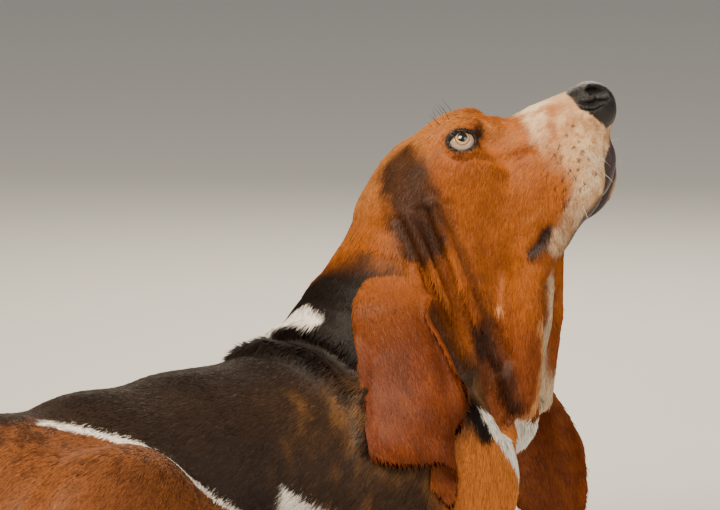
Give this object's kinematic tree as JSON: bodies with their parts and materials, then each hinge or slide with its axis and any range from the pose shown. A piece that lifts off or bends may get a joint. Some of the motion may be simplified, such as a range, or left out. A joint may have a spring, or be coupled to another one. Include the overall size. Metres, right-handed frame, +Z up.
{
  "type": "basset hound",
  "caption": "Life-size model of a basset hound lying down, long ears hanging and head turned aside and raised.",
  "frame": {"origin": "on the floor, under the middle of the whole dog", "axes": "+X along the trunk from rump to chest, +Y to the dog's left, +Z up from the floor it lies on"},
  "size_m": [0.7868, 0.3838, 0.4727],
  "materials": {
    "tan_coat": "short glossy hair",
    "black_coat": "short glossy hair",
    "white_coat": "short glossy hair",
    "mahogany_coat": "short glossy hair",
    "eye": "wet",
    "claw": "horn"
  },
  "bodies": {
    "root": {"head": "tan_coat", "neck": "tan_coat", "trunk": "black_coat", "tail": "black_coat", "foreleg_left": "white_coat", "foreleg_right": "white_coat", "hindleg_left": "tan_coat", "hindleg_right": "tan_coat", "ear_left": "mahogany_coat", "ear_right": "mahogany_coat", "eye_left": "eye", "eye_right": "eye", "claw_foreleg_left_1": "claw", "claw_foreleg_left_2": "claw", "claw_foreleg_left_3": "claw", "claw_foreleg_left_4": "claw", "claw_foreleg_right_1": "claw", "claw_foreleg_right_2": "claw", "claw_foreleg_right_3": "claw", "claw_foreleg_right_4": "claw", "claw_hindleg_left_1": "claw", "claw_hindleg_left_2": "claw", "claw_hindleg_left_3": "claw", "claw_hindleg_left_4": "claw", "claw_hindleg_right_1": "claw", "claw_hindleg_right_2": "claw", "claw_hindleg_right_3": "claw", "claw_hindleg_right_4": "claw"}
  },
  "joints": []
}
